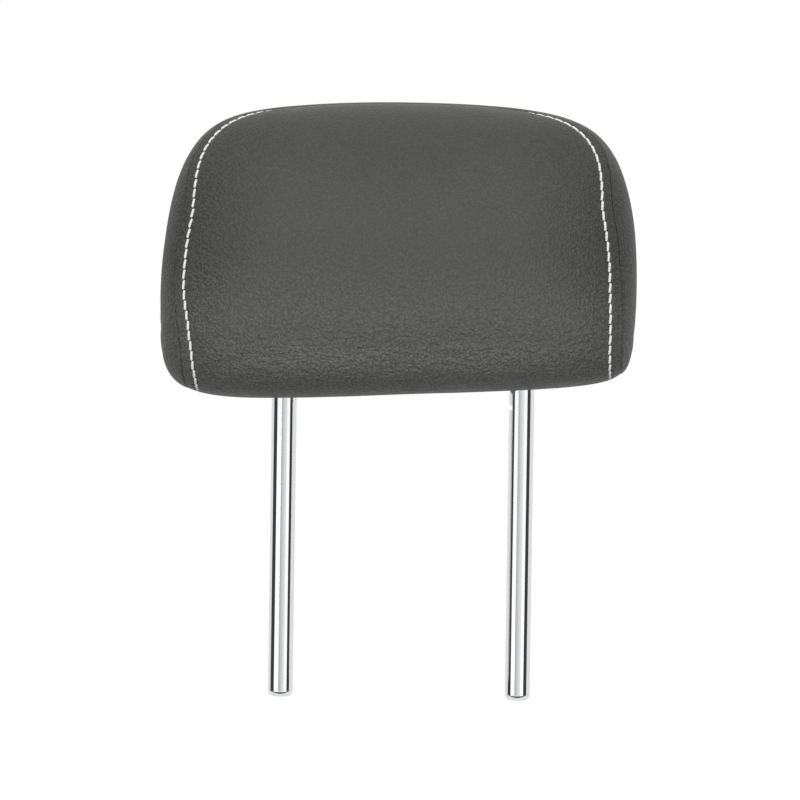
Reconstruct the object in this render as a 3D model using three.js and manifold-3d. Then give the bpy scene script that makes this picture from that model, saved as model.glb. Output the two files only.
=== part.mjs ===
// Car headrest: a foam cushion in a sewn leatherette cover, carried by one bent steel tube.
// Sizes are in millimetres. +Z is up, the face looks along -Y, and +X is on the right of someone facing it.
// The origin lies midway between the two posts, level with their lower ends.

import * as THREE from "three";
import { mergeVertices } from "three/addons/utils/BufferGeometryUtils.js";
import Module from "manifold-3d";

const wasm = await Module();
wasm.setup();

// Clearances
const seatGap = 0.3; // between pieces that touch on the real object
const softGap = 0.45; // between a soft piece and what lies on it
const closureGap = 0.4; // between the two hems that meet under the cushion
const tubeOverlap = 0.5; // the straight stretches of the tube run this far into its bends

// Post frame: one round tube bent to an inverted U
const postDiameter = 14;
const postWall = 2.5;
const postSpacing = 133;
const postExposed = 171; // from the lower ends to the underside of the cushion
const crossbarRise = 92; // from the underside of the cushion to the crossbar's centre line
const bendRadius = 32;
const endTaperLength = 3;
const endFlatDiameter = 10;
const endHoleDiameter = 4;
const endHoleDepth = 5; // length of the necked-down mouth of each post
const notchDrop = 7.5; // from the underside of the cushion down to the lock notch
const notchHeight = 2.4;
const notchDepth = 1.7;
const notchSlope = 1.6; // rise of the notch's upper flank
const tubeSides = 18;
const bendSteps = 8;

// Cushion: outline seen from the front, measured from its widest level
const cushionWidth = 265;
const cushionRise = 105;
const cushionDrop = 58;
const cushionOffset = -3; // the cushion's middle lies this far to +X of the posts' middle
const crownNarrowing = 21; // lost on each side at the crown
const crownArch = 7.6; // drop of the crown's shoulders below its middle
const hemNarrowing = 4.5; // lost on each side at the underside
const hemClimb = 13.4; // the sewn underside climbs this much over the whole width
const crownSquareness = 7.8;
const hemSquarenessLeft = 6;
const hemSquarenessRight = 10;
const cornerSoftening = 3; // the higher, the nearer the edge the face's corners begin

// Cushion: section from front to back, measured from the plane of the posts
const depthFront = 62;
const depthBack = 50;
const crownLean = 5; // the crown lies this far back
const lipSwell = 1.8; // the lower face swells forward
const lipHeight = 30; // of the swell above the underside
const lipSpread = 26;
const sideRoundness = 3.65;
const crownRoundness = 2.5;
const hemRoundness = 4.6;

// Cover: three panels, sewn edge to edge
const coverThickness = 2.4;
const sewingGap = 0.3;
const frontSeamAtSides = -41; // distance behind the posts; negative is in front of them
const frontSeamAtCrown = -3;
const seamSwingStart = 0.32; // share of the way up at which the seams start to swing back
const backSeamAtSides = 28;
const backSeamAtCrown = 23;
const seamTuckDepth = 1.1; // how far a seam pulls its two edges in
const seamTuckReach = 2.4; // from the seam to the top of the roll beside it
const wedgeStart = 19; // degrees below level, where the side band starts to narrow
const wedgeEnd = 30; // degrees below level, where it has run out

// Topstitching, one row on the front panel beside its seam
const stitchInset = 7.5;
const stitchPitch = 5.7;
const threadDiameter = 1.2;
const threadWaist = 0.5; // diameter where the thread dips into a needle hole
const stitchChannelDepth = 0.9;
const stitchChannelReach = 3.8;
const stitchPastWedge = 4; // degrees that the row runs on below the start of the wedge
const threadSides = 5;

// Moulded insert: two halves that clamp the crossbar
const insertWidth = 186;
const insertHeight = 92;
const insertBottomRise = 24; // above the underside of the cushion
const insertDepthFront = 24;
const insertDepthRear = 20;
const insertWall = 2.4;
const insertCorner = 26;
const insertEdge = 4; // bevel of the outer edges
const insertRibs = 6;
const insertRibThickness = 2;
const hookWidth = 12;
const hookReach = 7.5; // how far a snap hook enters the rear half
const hookThickness = 1.8;
const hookBarb = 1.3;

// Closure under the cushion: two hooked strips along the hems
const stripThickness = 1.6;
const stripWebReach = 14;
const stripHookReach = 4;
const stripLip = 1.4;
const stripPostMargin = 4;

// Fineness of the faceted surfaces
const stationsAround = 62;
const turnWeight = 26; // millimetres of edge that a turn of one radian counts as

const widestLevel = postExposed + cushionDrop;
const postRadius = postDiameter / 2;
const crossbarLevel = postExposed + crossbarRise;
const halfWidth = cushionWidth / 2;
const hemSlope = hemClimb / cushionWidth;

const leatherette = new THREE.MeshStandardMaterial({ color: 0x4a4a48, roughness: 0.55, metalness: 0 });
const chrome = new THREE.MeshStandardMaterial({ color: 0xd8dadc, roughness: 0.08, metalness: 1 });
const foam = new THREE.MeshStandardMaterial({ color: 0xd9cfa8, roughness: 0.95, metalness: 0 });
const blackPlastic = new THREE.MeshStandardMaterial({ color: 0x1d1d1f, roughness: 0.6, metalness: 0 });
const whiteThread = new THREE.MeshStandardMaterial({ color: 0xdfe2e3, roughness: 0.7, metalness: 0 });

// A closed geometry as a solid.
function solidOf(geometry) {
  const bare = geometry.clone();
  bare.deleteAttribute("normal");
  bare.deleteAttribute("uv");
  const merged = mergeVertices(bare, 1e-4);
  return new wasm.Manifold(
    new wasm.Mesh({
      numProp: 3,
      vertProperties: new Float32Array(merged.attributes.position.array),
      triVerts: new Uint32Array(merged.index.array),
    }),
  );
}

// A solid as a named mesh.
function meshOf(solid, name, material) {
  const made = solid.getMesh();
  const geometry = new THREE.BufferGeometry();
  geometry.setAttribute("position", new THREE.BufferAttribute(new Float32Array(made.vertProperties), 3));
  geometry.setIndex(new THREE.BufferAttribute(new Uint32Array(made.triVerts), 1));
  geometry.computeVertexNormals();
  const mesh = new THREE.Mesh(geometry, material);
  mesh.name = name;
  return mesh;
}

// A polygon in the YZ plane, drawn along X about x = 0.
function barAlongX(corners, length) {
  const shape = new THREE.Shape(corners.map(([y, z]) => new THREE.Vector2(y, z)));
  const geometry = new THREE.ExtrudeGeometry(shape, { depth: length, bevelEnabled: false });
  geometry.translate(0, 0, -length / 2);
  geometry.rotateY(Math.PI / 2);
  geometry.rotateX(Math.PI / 2);
  return geometry;
}

// The front outline in the direction of an angle from +X: a rounded rectangle from powers of x and z. Its
// corners soften to an ellipse's towards the middle of the face, where the share of the way out is 0.
function outlinePoint(angle, share) {
  const across = Math.cos(angle);
  const up = Math.sin(angle);
  const lowerPower = across < 0 ? hemSquarenessLeft : hemSquarenessRight;
  const squareness = up >= 0 ? crownSquareness : lowerPower;
  const power = THREE.MathUtils.lerp(2, squareness, share ** cornerSoftening);
  const height = up >= 0 ? cushionRise : cushionDrop;
  const sum = Math.abs(across / halfWidth) ** power + Math.abs(up / height) ** power;
  const reach = sum ** (-1 / power);
  return { x: reach * across, z: reach * up };
}

// How boxy the section from front to back is, in the direction of an angle.
function sectionPower(angle) {
  const up = Math.sin(angle);
  if (up >= 0) {
    return THREE.MathUtils.lerp(sideRoundness, crownRoundness, up * up);
  }
  return THREE.MathUtils.lerp(sideRoundness, hemRoundness, THREE.MathUtils.smoothstep(-up, 0, 0.8));
}

// A point of the cover's outer face. The angle goes round the outline from +X, and the fold goes from
// 0 in the middle of the face, over the widest line at a quarter turn, to half a turn in the middle of the back.
function skinPoint(angle, fold) {
  const power = sectionPower(angle);
  const out = Math.sin(fold);
  const fore = Math.cos(fold);
  const scale = (Math.abs(out) ** power + Math.abs(fore) ** power) ** (-1 / power);
  const edge = outlinePoint(angle, out * scale);
  let x = edge.x * out * scale;
  let z = edge.z * out * scale;
  const depth = fore > 0 ? depthFront : depthBack;
  let y = -fore * scale * depth;

  const upper = Math.max(z, 0) / cushionRise;
  const lower = Math.max(-z, 0) / cushionDrop;
  z -= crownArch * (x / halfWidth) ** 2 * upper ** 2;
  x *= 1 - (crownNarrowing * upper ** 2 + hemNarrowing * lower ** 2) / halfWidth;
  z += x * hemSlope * (1 - (z + cushionDrop) / (cushionRise + cushionDrop));
  y += crownLean * upper ** 2;
  if (fore > 0) {
    const fromLip = (z + cushionDrop - lipHeight) / lipSpread;
    y -= lipSwell * fore * scale * Math.exp(-fromLip * fromLip);
  }
  return new THREE.Vector3(x + cushionOffset, y, z + widestLevel);
}

// The skin's rates of change along its angle and its fold, a little away from the two poles.
function skinRates(angle, fold) {
  const small = 1e-3;
  const safe = THREE.MathUtils.clamp(fold, 0.03, Math.PI - 0.03);
  const alongAngle = skinPoint(angle + small, safe).sub(skinPoint(angle - small, safe));
  const alongFold = skinPoint(angle, safe + small).sub(skinPoint(angle, safe - small));
  return { alongAngle: alongAngle.divideScalar(2 * small), alongFold: alongFold.divideScalar(2 * small) };
}

// A point at some depth under the skin, square to it. A negative depth is outside.
function pointUnder(angle, fold, depth) {
  const rates = skinRates(angle, fold);
  const inward = new THREE.Vector3().crossVectors(rates.alongAngle, rates.alongFold).normalize();
  const point = skinPoint(angle, fold);
  if (inward.dot(new THREE.Vector3(cushionOffset, 0, widestLevel).sub(point)) < 0) {
    inward.negate();
  }
  return point.addScaledVector(inward, depth);
}

// The fold at which the skin lies a given distance behind the posts.
function foldAtDepth(angle, behind) {
  const power = sectionPower(angle);
  const share = behind < 0 ? behind / depthFront : behind / depthBack;
  const out = (1 - Math.abs(share) ** power) ** (1 / power);
  return Math.atan2(out, -share);
}

// A fold moved along the skin by a distance, towards the back.
function foldMoved(angle, fold, distance) {
  return fold + distance / skinRates(angle, fold).alongFold.length();
}

// 1 along the sides and the crown, 0 along the underside, where the side band has run out.
function bandShare(angle) {
  const below = THREE.MathUtils.radToDeg(Math.asin(Math.max(-Math.sin(angle), 0)));
  return 1 - THREE.MathUtils.smoothstep(below, wedgeStart, wedgeEnd);
}

// A seam's fold: its distance behind the posts swings from the sides' to the crown's.
function seamFold(angle, atSides, atCrown) {
  const swing = THREE.MathUtils.smoothstep(Math.sin(angle), seamSwingStart, 1);
  return foldAtDepth(angle, THREE.MathUtils.lerp(atSides, atCrown, swing) * bandShare(angle));
}

function frontSeamFold(angle) {
  return seamFold(angle, frontSeamAtSides, frontSeamAtCrown);
}

function backSeamFold(angle) {
  return seamFold(angle, backSeamAtSides, backSeamAtCrown);
}

// Angles round the outline, spaced by the length of the edge and by how much it turns.
function anglesAround(from, to, count, edgeAt) {
  const samples = 720;
  const angles = [];
  const measure = [0];
  let before = null;
  let heading = null;
  for (let i = 0; i <= samples; i += 1) {
    const angle = from + ((to - from) * i) / samples;
    const here = edgeAt(angle);
    angles.push(angle);
    if (before) {
      const step = here.clone().sub(before);
      const turn = heading ? step.angleTo(heading) : 0;
      measure.push(measure[i - 1] + step.length() + turnWeight * turn);
      heading = step;
    }
    before = here;
  }
  const chosen = [];
  let at = 0;
  for (let k = 0; k <= count; k += 1) {
    const wanted = (measure[samples] * k) / count;
    while (at < samples - 1 && measure[at + 1] < wanted) {
      at += 1;
    }
    const share = (wanted - measure[at]) / (measure[at + 1] - measure[at]);
    chosen.push(THREE.MathUtils.lerp(angles[at], angles[at + 1], share));
  }
  return chosen;
}

// A closed geometry from points and triangles, turned right side out.
function closedGeometry(points, faces) {
  const geometry = new THREE.BufferGeometry();
  geometry.setAttribute("position", new THREE.Float32BufferAttribute(points.flatMap((p) => p.toArray()), 3));
  let volume = 0;
  for (const [a, b, c] of faces) {
    volume += points[a].dot(new THREE.Vector3().crossVectors(points[b], points[c]));
  }
  geometry.setIndex(volume < 0 ? faces.flatMap(([a, b, c]) => [a, c, b]) : faces.flat());
  return geometry;
}

// How far round from the face to the back a point lies, seen from the cushion's middle.
function turnFromFace(point) {
  return Math.atan2(Math.hypot(point.x - cushionOffset, point.z - widestLevel), -point.y);
}

// Two triangles over four corners, a to b at one angle and d to c at the next one. The diagonal follows the
// way the seams swing in that quarter, alike on every surface, so that faces laid over each other stay parallel.
function quadFaces(points, a, b, c, d) {
  const frontFirst = turnFromFace(points[a]) <= turnFromFace(points[b]);
  const across = points[a].x + points[c].x - 2 * cushionOffset;
  const up = points[a].z + points[c].z - 2 * widestLevel;
  const swingsBack = across * up > 0;
  if (frontFirst !== swingsBack) {
    return [[a, c, b], [a, d, c]];
  }
  return [[a, d, b], [b, d, c]];
}

// A closed shape like a lathe's: rings of equal count between two end points.
function ringedSolid(firstPole, rings, lastPole) {
  const count = rings[0].length;
  const points = [firstPole, ...rings.flat(), lastPole];
  const last = points.length - 1;
  const faces = [];
  for (let i = 0; i < count; i += 1) {
    const next = (i + 1) % count;
    faces.push([0, 1 + next, 1 + i]);
    rings.slice(1).forEach((_, r) => {
      const a = 1 + r * count;
      const b = a + count;
      faces.push(...quadFaces(points, a + i, b + i, b + next, a + next));
    });
    const end = 1 + (rings.length - 1) * count;
    faces.push([last, end + i, end + next]);
  }
  return solidOf(closedGeometry(points, faces));
}

const fullTurn = Math.PI * 2;
const closedAngles = anglesAround(-Math.PI / 2, Math.PI * 1.5, stationsAround, (angle) =>
  skinPoint(angle, (frontSeamFold(angle) + backSeamFold(angle)) / 2),
);
closedAngles.pop();

// How deep the seam's tuck and the stitch channel lie, at a distance from the seam.
function tuckDepth(distance, stitched) {
  const roll = Math.max(0, 1 - distance / seamTuckReach);
  const channel = Math.max(0, 1 - Math.abs(distance - stitchInset) / (stitchInset - seamTuckReach));
  return seamTuckDepth * roll ** 2 + (stitched ? stitchChannelDepth * channel : 0);
}

const stitchEdgeRings = [0, seamTuckReach / 2, seamTuckReach, stitchInset, stitchInset + stitchChannelReach];
const plainEdgeRings = [0, seamTuckReach / 2, seamTuckReach];

const freeRings = 7; // between the edge of a panel and its middle

// The fold of a panel's edge, half a sewing gap and any closure gap short of the seam.
function frontEdgeFold(angle) {
  const short = sewingGap / 2 + (closureGap / 2) * (1 - bandShare(angle));
  return foldMoved(angle, frontSeamFold(angle), -short);
}

function backEdgeFold(angle) {
  const short = sewingGap / 2 + (closureGap / 2) * (1 - bandShare(angle));
  return foldMoved(angle, backSeamFold(angle), short);
}

// The folds of a panel's inner rings, from its edge to its middle.
function panelFolds(angle, edgeFold, pole) {
  const folds = [];
  for (let k = 0; k < freeRings; k += 1) {
    folds.push(THREE.MathUtils.lerp(edgeFold(angle), pole, k / freeRings));
  }
  return folds;
}

// One ring of points for each fold in a list that is given angle by angle.
function ringsUnder(foldsAt, depth) {
  const count = foldsAt(closedAngles[0]).length;
  const rings = [];
  for (let k = 0; k < count; k += 1) {
    rings.push(closedAngles.map((angle) => pointUnder(angle, foldsAt(angle)[k], depth)));
  }
  return rings;
}

// A panel that closes over the face or the back: a cap from a pole to an edge, as thick as the cover.
function capPanel(pole, edgeFold, stitched) {
  const towardsPole = pole === 0 ? -1 : 1;
  const edgeRings = stitched ? stitchEdgeRings : plainEdgeRings;
  const outer = edgeRings.map((distance) =>
    closedAngles.map((angle) => {
      const fold = foldMoved(angle, edgeFold(angle), towardsPole * distance);
      return pointUnder(angle, fold, tuckDepth(distance, stitched) * bandShare(angle));
    }),
  );
  const lastDistance = edgeRings[edgeRings.length - 1];
  for (let k = 1; k < freeRings; k += 1) {
    outer.push(
      closedAngles.map((angle) => {
        const start = foldMoved(angle, edgeFold(angle), towardsPole * lastDistance);
        return pointUnder(angle, THREE.MathUtils.lerp(start, pole, k / freeRings), 0);
      }),
    );
  }
  const inner = ringsUnder((angle) => panelFolds(angle, edgeFold, pole), coverThickness);
  const rings = [...outer.reverse(), ...inner];
  return ringedSolid(pointUnder(0, pole, 0), rings, pointUnder(0, pole, coverThickness));
}

// The fold of the band's edge beside a seam, half a sewing gap inside it.
function bandEdgeFold(angle, seamFold, side) {
  return foldMoved(angle, seamFold(angle), (side * sewingGap) / 2);
}

// The side and top band: a strip between the two seams, from one lower corner over the crown to the other.
function bandPanel() {
  const leastShare = 0.12;
  const innerShares = [1, 0.5, 0];
  const angles = closedAngles.filter((angle) => bandShare(angle) > leastShare);
  const section = (angle) => {
    const from = bandEdgeFold(angle, frontSeamFold, 1);
    const to = bandEdgeFold(angle, backSeamFold, -1);
    const width = (to - from) * skinRates(angle, (from + to) / 2).alongFold.length();
    const tuck = Math.min(seamTuckReach, width / 4) / width;
    const outer = [0, tuck / 2, tuck, 0.5, 1 - tuck, 1 - tuck / 2, 1].map((share) => {
      const distance = Math.min(share, 1 - share) * width;
      const fold = THREE.MathUtils.lerp(from, to, share);
      return pointUnder(angle, fold, tuckDepth(distance, false) * bandShare(angle));
    });
    const inner = innerShares.map((share) => {
      return pointUnder(angle, THREE.MathUtils.lerp(from, to, share), coverThickness);
    });
    return [...outer, ...inner];
  };
  const sections = angles.map(section);
  const count = sections[0].length;
  const points = sections.flat();
  const faces = [];
  for (let s = 0; s < sections.length - 1; s += 1) {
    for (let i = 0; i < count; i += 1) {
      const next = (i + 1) % count;
      const a = s * count;
      const b = a + count;
      faces.push(...quadFaces(points, a + i, a + next, b + next, b + i));
    }
  }
  const innerEnd = count - innerShares.length;
  const outerEnd = innerEnd - 1;
  const fan = [];
  for (let i = 0; i < outerEnd; i += 1) {
    fan.push([i, i + 1, i < outerEnd / 2 ? innerEnd + 2 : innerEnd + 1]);
  }
  fan.push([outerEnd / 2, innerEnd + 1, innerEnd + 2], [outerEnd, innerEnd, innerEnd + 1]);
  const end = (sections.length - 1) * count;
  for (const [a, b, c] of fan) {
    faces.push([a, b, c], [end + a, end + c, end + b]);
  }
  return solidOf(closedGeometry(points, faces));
}

// A round bar along Z, for the holes that the posts pass through.
function postHoles(clearance, low, high) {
  const holes = [-1, 1].map((side) => {
    const bar = new THREE.CylinderGeometry(
      postRadius + clearance,
      postRadius + clearance,
      high - low,
      tubeSides,
    );
    bar.rotateX(Math.PI / 2);
    bar.translate((side * postSpacing) / 2, 0, (low + high) / 2);
    return solidOf(bar);
  });
  return holes[0].add(holes[1]);
}

// Where the tube's straight stretches end: the crossbar at this distance from the middle, the posts at this level.
const inner = postSpacing / 2 - bendRadius;
const bendLevel = crossbarLevel - bendRadius;

// A round tube or bar bent through the quarter turn at one side. A hole radius of 0 makes it solid.
function bentTube(side, radius, holeRadius) {
  const section = new THREE.Shape();
  section.absarc(0, 0, radius, 0, fullTurn, false);
  if (holeRadius > 0) {
    section.holes.push(new THREE.Path().absarc(0, 0, holeRadius, 0, fullTurn, true));
  }
  class QuarterTurn extends THREE.Curve {
    getPoint(t, target = new THREE.Vector3()) {
      const turn = (t * Math.PI) / 2;
      const x = side * (inner + bendRadius * Math.cos(turn));
      return target.set(x, 0, bendLevel + bendRadius * Math.sin(turn));
    }
  }
  const geometry = new THREE.ExtrudeGeometry(section, {
    steps: bendSteps,
    curveSegments: tubeSides / 2,
    extrudePath: new QuarterTurn(),
  });
  return solidOf(geometry);
}

// A straight round tube along Z from a closed profile of radius and height pairs.
function turnedPiece(profile) {
  const geometry = new THREE.LatheGeometry(
    profile.map(([radius, height]) => new THREE.Vector2(radius, height)),
    tubeSides,
  );
  geometry.rotateX(Math.PI / 2);
  return solidOf(geometry);
}

// The solid envelope of the tube with some clearance, for what it passes through.
function frameEnvelope(clearance) {
  const radius = postRadius + clearance;
  let envelope = postHoles(clearance, 0, bendLevel + tubeOverlap);
  for (const side of [-1, 1]) {
    envelope = envelope.add(bentTube(side, radius, 0));
  }
  const bar = new THREE.CylinderGeometry(radius, radius, 2 * (inner + tubeOverlap), tubeSides);
  bar.rotateZ(Math.PI / 2);
  bar.translate(0, 0, crossbarLevel);
  return envelope.add(solidOf(bar));
}

function makePostFrame() {
  const bore = postRadius - postWall;
  const mouth = endHoleDiameter / 2;
  const post = turnedPiece([
    [mouth, 0],
    [endFlatDiameter / 2, 0],
    [(endFlatDiameter / 2 + 3 * postRadius) / 4, endTaperLength / 3],
    [postRadius, endTaperLength],
    [postRadius, bendLevel + tubeOverlap],
    [bore, bendLevel + tubeOverlap],
    [bore, endHoleDepth + bore - mouth],
    [mouth, endHoleDepth],
    [mouth, 0],
  ]);
  const barEnd = inner + tubeOverlap;
  const crossbar = turnedPiece([
    [bore, -barEnd],
    [postRadius, -barEnd],
    [postRadius, barEnd],
    [bore, barEnd],
    [bore, -barEnd],
  ]);
  let frame = crossbar.rotate([0, 90, 0]).translate([0, 0, crossbarLevel]);
  for (const side of [-1, 1]) {
    frame = frame.add(post.translate([(side * postSpacing) / 2, 0, 0]));
    frame = frame.add(bentTube(side, postRadius, bore));
  }
  const notchX = postSpacing / 2 - postRadius;
  const notchShape = new THREE.Shape();
  notchShape.moveTo(notchX - postWall, -notchHeight / 2);
  notchShape.lineTo(notchX + notchDepth, -notchHeight / 2);
  notchShape.lineTo(notchX + notchDepth, notchHeight / 2);
  notchShape.lineTo(notchX - postWall, notchHeight / 2 + (notchSlope * (postWall + notchDepth)) / notchDepth);
  notchShape.closePath();
  const notch = new THREE.ExtrudeGeometry(notchShape, { depth: postDiameter, bevelEnabled: false });
  notch.rotateX(Math.PI / 2);
  notch.translate(0, postRadius, postExposed - notchDrop);
  return frame.subtract(solidOf(notch));
}

// A rounded rectangle about the insert's middle, set in by a margin, drawn from y = 0 towards the front.
function insertPlate(margin, depth, bevel) {
  const width = insertWidth / 2 - margin - bevel;
  const height = insertHeight / 2 - margin - bevel;
  const radius = insertCorner - margin - bevel;
  const shape = new THREE.Shape();
  shape.absarc(width - radius, height - radius, radius, 0, Math.PI / 2, false);
  shape.absarc(radius - width, height - radius, radius, Math.PI / 2, Math.PI, false);
  shape.absarc(radius - width, radius - height, radius, Math.PI, Math.PI * 1.5, false);
  shape.absarc(width - radius, radius - height, radius, Math.PI * 1.5, fullTurn, false);
  const geometry = new THREE.ExtrudeGeometry(shape, {
    depth: depth - bevel,
    curveSegments: 5,
    bevelEnabled: bevel > 0,
    bevelSize: bevel,
    bevelThickness: bevel,
    bevelSegments: 2,
  });
  geometry.rotateX(Math.PI / 2);
  return geometry;
}

const insertLevel = postExposed + insertBottomRise + insertHeight / 2;
const ribSpan = insertWidth - 2 * insertCorner;

// One half's outer block, bevelled on its outer side only, and grown by a clearance past the parting too.
// The side is -1 for the front half and 1 for the rear.
function insertBlock(side, depth, grow) {
  const block = insertPlate(-grow, depth + grow, insertEdge);
  const keepDepth = depth + 2 * grow + 1;
  const keep = new THREE.BoxGeometry(insertWidth * 2, keepDepth, insertHeight * 2);
  keep.translate(0, grow - keepDepth / 2, 0);
  let half = solidOf(block).intersect(solidOf(keep));
  if (side > 0) {
    half = half.rotate([0, 0, 180]);
  }
  return half.translate([0, 0, insertLevel]);
}

// A half of the insert: a dish with upright ribs, hollowed for the tube.
function insertHalf(side, depth) {
  const block = insertBlock(side, depth, 0);
  let pocket = solidOf(insertPlate(insertWall, depth - insertWall, 0));
  const parting = new THREE.BoxGeometry(insertWidth * 2, seatGap, insertHeight * 2);
  if (side > 0) {
    pocket = pocket.rotate([0, 0, 180]);
  }
  pocket = pocket.translate([0, 0, insertLevel]);
  let half = block.subtract(pocket);
  for (let i = 0; i < insertRibs; i += 1) {
    const rib = new THREE.BoxGeometry(insertRibThickness, depth - insertWall / 2, insertHeight - insertWall);
    const x = ribSpan * (i / (insertRibs - 1) - 0.5);
    rib.translate(x, (side * (depth - insertWall / 2)) / 2, insertLevel);
    half = half.add(solidOf(rib));
  }
  half = half.subtract(frameEnvelope(seatGap));
  return half.subtract(solidOf(parting).translate([0, 0, insertLevel]));
}

// The snap hook's profile from the front half into the rear one, from the inner face of the upper wall.
function hookProfile() {
  const under = -seatGap - hookThickness;
  const barbStart = hookReach - 3 * hookBarb;
  return [
    [-hookReach, under],
    [hookReach, under],
    [hookReach, -seatGap],
    [barbStart, hookBarb],
    [barbStart, -seatGap],
    [-seatGap, -seatGap],
    [-seatGap, insertWall / 4],
    [-hookReach, insertWall / 4],
  ];
}

// Places a piece at each snap hook: two under the upper wall and two over the lower one.
function atHooks(piece) {
  const places = [];
  for (const side of [-1, 1]) {
    const x = (side * ribSpan) / (insertRibs - 1);
    const wall = insertHeight / 2 - insertWall;
    places.push(piece.translate([x, 0, insertLevel + wall]));
    places.push(piece.mirror([0, 0, 1]).translate([x, 0, insertLevel - wall]));
  }
  return places;
}

function makeInsertFront() {
  const hook = solidOf(barAlongX(hookProfile(), hookWidth));
  let half = insertHalf(-1, insertDepthFront);
  for (const placed of atHooks(hook)) {
    half = half.add(placed);
  }
  return half;
}

function makeInsertRear() {
  const windowStart = hookReach - 3 * hookBarb - seatGap;
  const opening = new THREE.BoxGeometry(
    hookWidth + 2 * seatGap,
    hookReach + seatGap - windowStart,
    2 * insertWall + 2,
  );
  opening.translate(0, (windowStart + hookReach + seatGap) / 2, insertWall / 2);
  let half = insertHalf(1, insertDepthRear);
  for (const placed of atHooks(solidOf(opening))) {
    half = half.subtract(placed);
  }
  return half;
}

// The two strips' profiles, over the cover's inner face: the front strip's hook opens to the front and holds
// the rear strip's toe.
function frontStripProfile() {
  const lipLow = 2 * stripThickness;
  const lipTop = lipLow + stripLip;
  const back = stripHookReach;
  const lipFront = back - 2 * stripThickness - stripLip / 2;
  return [
    [-stripWebReach, 0],
    [back, 0],
    [back, lipTop],
    [lipFront, lipTop],
    [lipFront, lipLow],
    [back - stripThickness, lipLow],
    [back - stripThickness, stripThickness],
    [-stripWebReach, stripThickness],
  ];
}

function rearStripProfile() {
  const lipLow = 2 * stripThickness;
  const lipTop = lipLow + stripLip;
  const wallFront = stripHookReach + seatGap;
  const wallBack = wallFront + stripThickness;
  const lipFront = stripHookReach - 2 * stripThickness - stripLip / 2;
  const legBack = lipFront - seatGap;
  const legFront = legBack - stripThickness;
  const roofLow = lipTop + seatGap;
  const toeLow = stripThickness + seatGap;
  const toeTop = lipLow - seatGap;
  const toeBack = stripHookReach - stripThickness - seatGap;
  return [
    [stripWebReach, 0],
    [stripWebReach, stripThickness],
    [wallBack, stripThickness],
    [wallBack, roofLow + stripThickness],
    [legFront, roofLow + stripThickness],
    [legFront, toeLow],
    [toeBack, toeLow],
    [toeBack, toeTop],
    [legBack, toeTop],
    [legBack, roofLow],
    [wallFront, roofLow],
    [wallFront, 0],
  ];
}

const stripLength = postSpacing - postDiameter - 2 * stripPostMargin;
const stripSlope = -Math.atan(hemSlope);
const stripLevel = postExposed + coverThickness + softGap - cushionOffset * hemSlope;

function makeStrip(profile) {
  const geometry = barAlongX(profile, stripLength);
  geometry.rotateY(stripSlope);
  geometry.translate(0, 0, stripLevel);
  return solidOf(geometry);
}

// The room in the foam for the two strips.
function stripRoom() {
  const height = 3 * stripThickness + stripLip + 3 * seatGap + coverThickness;
  const room = new THREE.BoxGeometry(stripLength + 2, 2 * (stripWebReach + seatGap), 2 * height);
  room.rotateY(stripSlope);
  room.translate(0, 0, stripLevel);
  return solidOf(room);
}

function makeFoamPad() {
  const depth = coverThickness + softGap;
  const foldsAt = (angle) => {
    const face = panelFolds(angle, frontEdgeFold, 0).reverse();
    const back = panelFolds(angle, backEdgeFold, Math.PI);
    const middle = (frontEdgeFold(angle) + backEdgeFold(angle)) / 2;
    return [...face, middle, ...back];
  };
  let pad = ringedSolid(pointUnder(0, 0, depth), ringsUnder(foldsAt, depth), pointUnder(0, Math.PI, depth));
  pad = pad.subtract(insertBlock(-1, insertDepthFront, seatGap));
  pad = pad.subtract(insertBlock(1, insertDepthRear, seatGap));
  pad = pad.subtract(postHoles(seatGap, 0, insertLevel));
  return pad.subtract(stripRoom());
}

function makeFrontPanel() {
  return capPanel(0, frontEdgeFold, true).subtract(postHoles(seatGap, 0, insertLevel));
}

function makeBackPanel() {
  return capPanel(Math.PI, backEdgeFold, false).subtract(postHoles(seatGap, 0, insertLevel));
}

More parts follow.
